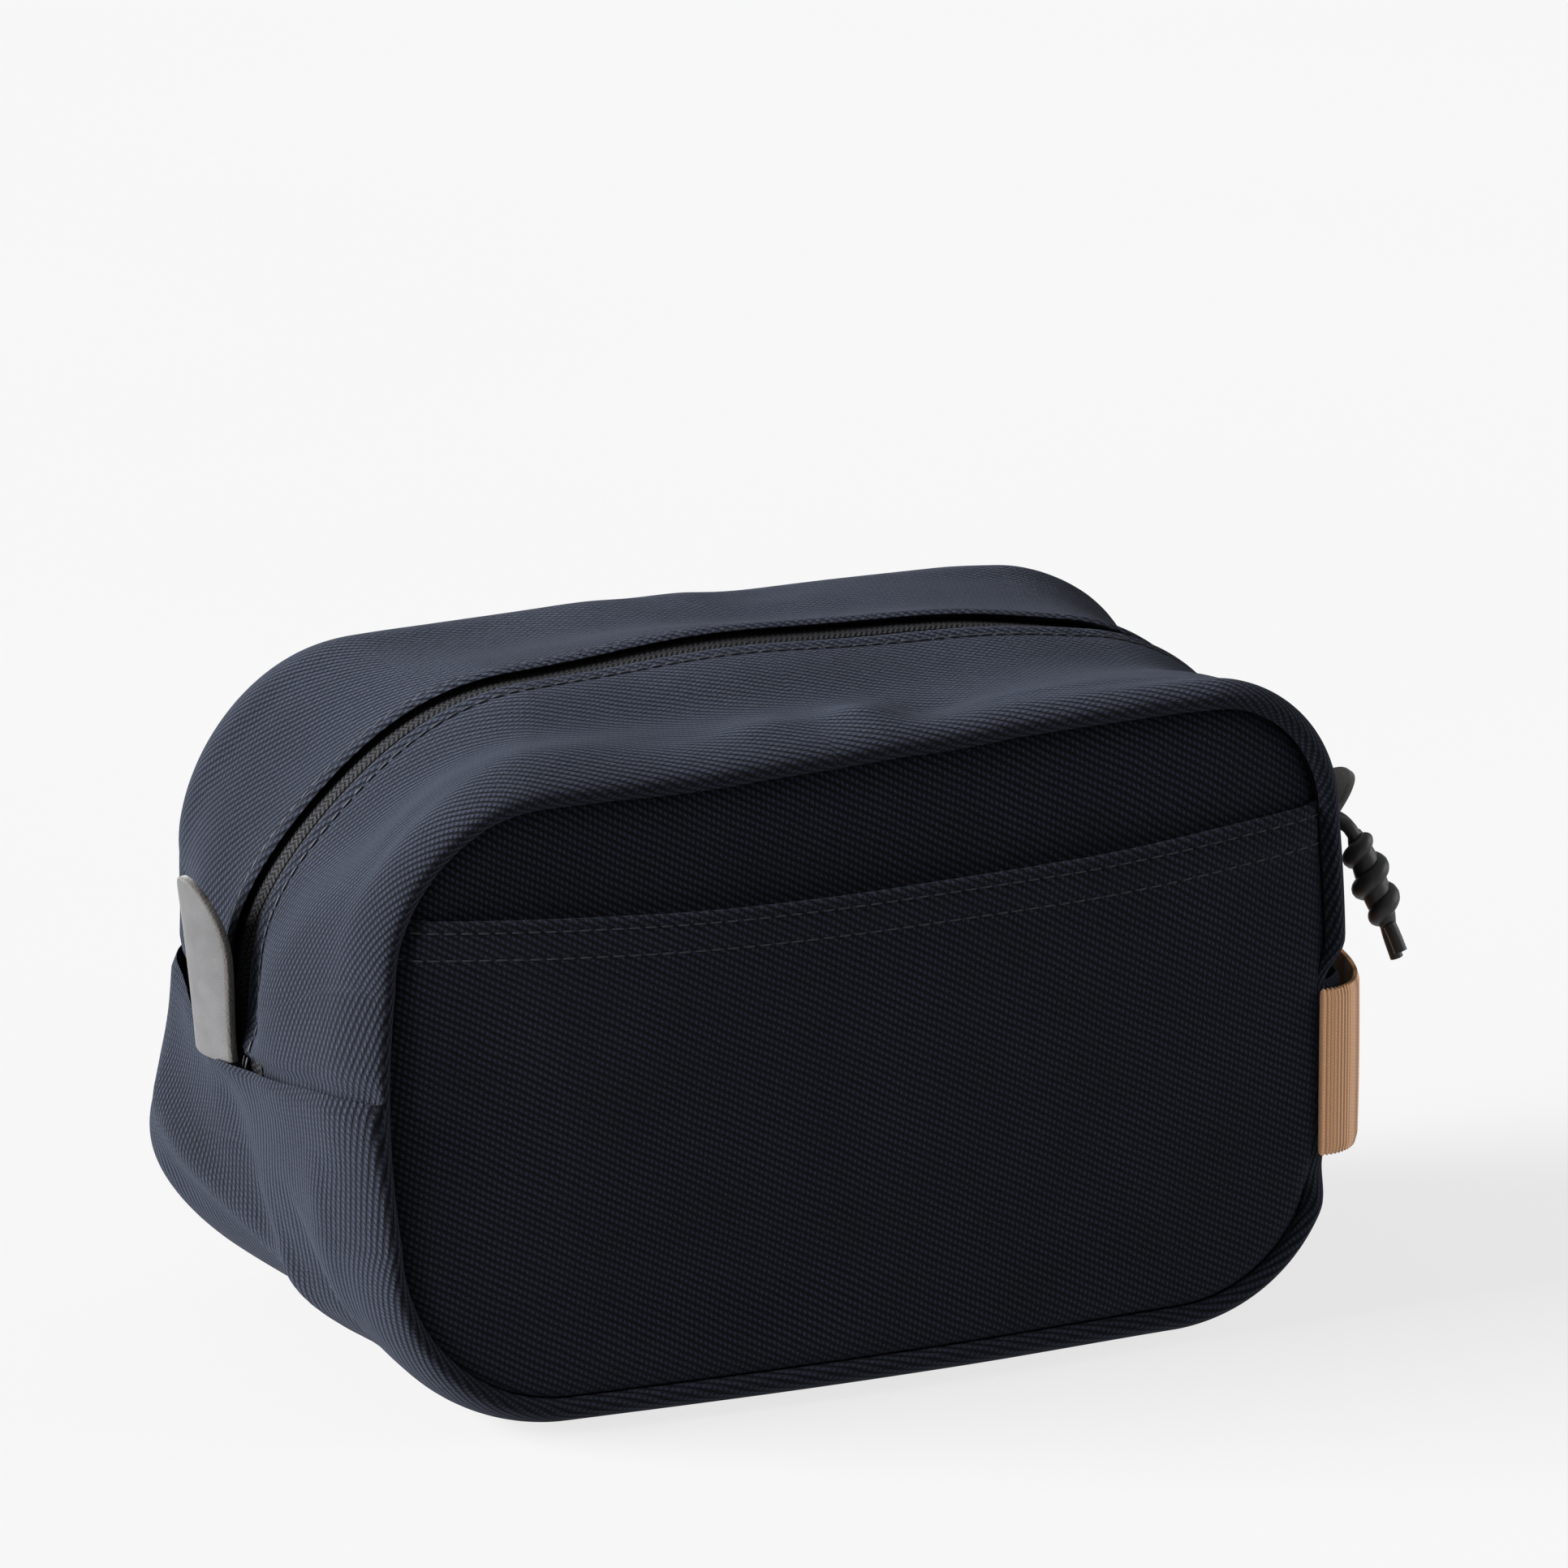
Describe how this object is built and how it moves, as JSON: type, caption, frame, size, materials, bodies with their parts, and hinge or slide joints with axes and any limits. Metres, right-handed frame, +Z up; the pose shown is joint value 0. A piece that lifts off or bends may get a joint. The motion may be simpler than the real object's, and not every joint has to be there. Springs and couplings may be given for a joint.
{
  "type": "shaving kit bag",
  "caption": "Boxy twill wash bag with a zip over its top, slip pocket, leather end tabs, knotted lace pull and webbing side strap.",
  "frame": {"origin": "middle of the flat bottom of the bag, on the surface it stands on", "axes": "+X to the bag's right seen from the pocket side, along its width; +Y to the back; +Z up"},
  "size_m": [0.2764, 0.1343, 0.154],
  "materials": {
    "twill": "heavy cotton twill, matt, washed navy black",
    "lining": "thin plain-weave lining, matt",
    "zip_tape": "woven herringbone tape, matt",
    "zip_coil": "nylon coil, slight sheen",
    "dark_metal": "black plated zip hardware, satin",
    "leather": "smooth grain face, raw fibrous edge and back",
    "lace_leather": "black waxed leather lace, soft sheen",
    "webbing": "ribbed tan cotton webbing, matt"
  },
  "bodies": {
    "shell": {"back_panel": "twill", "front_panel": "twill", "gusset_lower": "twill", "gusset_top_back_left": "twill", "gusset_top_back_right": "twill", "gusset_top_front_left": "twill", "gusset_top_front_right": "twill", "lining_back": "lining", "lining_front": "lining", "lining_lower": "lining", "lining_top_back_left": "lining", "lining_top_back_right": "lining", "lining_top_front_left": "lining", "lining_top_front_right": "lining", "side_strap": "webbing", "zip_coil_back_left": "zip_coil", "zip_coil_back_right": "zip_coil", "zip_coil_front_left": "zip_coil", "zip_coil_front_right": "zip_coil", "zip_stop_left": "dark_metal", "zip_stop_right": "dark_metal", "zip_tape_back_left": "zip_tape", "zip_tape_back_right": "zip_tape", "zip_tape_front_left": "zip_tape", "zip_tape_front_right": "zip_tape"},
    "mouth_front": {"gusset_top_front_middle": "twill", "lining_top_front_middle": "lining", "zip_tape_front_middle": "zip_tape", "zip_coil_front_middle": "zip_coil"},
    "mouth_back": {"gusset_top_back_middle": "twill", "lining_top_back_middle": "lining", "zip_tape_back_middle": "zip_tape", "zip_coil_back_middle": "zip_coil"},
    "pocket": {"pocket_panel": "twill"},
    "slider": {"slider": "dark_metal", "slider_bridge": "dark_metal"},
    "lace": {"lace_loop": "lace_leather", "lace_knot": "lace_leather", "lace_end_front": "lace_leather", "lace_end_back": "lace_leather"},
    "tab_left": {"tab_left": "leather"},
    "tab_right": {"tab_right": "leather"}
  },
  "joints": [
    {"name": "mouth_front_open", "type": "hinge", "parent": "shell", "child": "mouth_front", "pos_m": [0, -0.062, 0.139], "axis": [1, 0, 0], "range_deg": [0, 42]},
    {"name": "mouth_back_open", "type": "hinge", "parent": "shell", "child": "mouth_back", "pos_m": [0, 0.062, 0.139], "axis": [-1, 0, 0], "range_deg": [0, 42]},
    {"name": "pocket_open", "type": "hinge", "parent": "shell", "child": "pocket", "pos_m": [0, -0.0623, 0.0083], "axis": [1, 0, 0], "range_deg": [0, 8], "stiffness_Nm_per_rad": 0.3},
    {"name": "slider_travel", "type": "hinge", "parent": "shell", "child": "slider", "pos_m": [0.072, 0, 0.103], "axis": [0, -1, 0], "range_deg": [0, 60]},
    {"name": "lace_swing", "type": "hinge", "parent": "slider", "child": "lace", "pos_m": [0.1207, 0, 0.102], "axis": [0, -1, 0], "range_deg": [-8, 80]},
    {"name": "tab_left_bend", "type": "hinge", "parent": "shell", "child": "tab_left", "pos_m": [-0.12, 0, 0.0724], "axis": [0, -1, 0], "range_deg": [-8, 60], "stiffness_Nm_per_rad": 0.03},
    {"name": "tab_right_bend", "type": "hinge", "parent": "shell", "child": "tab_right", "pos_m": [0.12, 0, 0.0737], "axis": [0, 1, 0], "range_deg": [-4, 35], "stiffness_Nm_per_rad": 0.03}
  ]
}
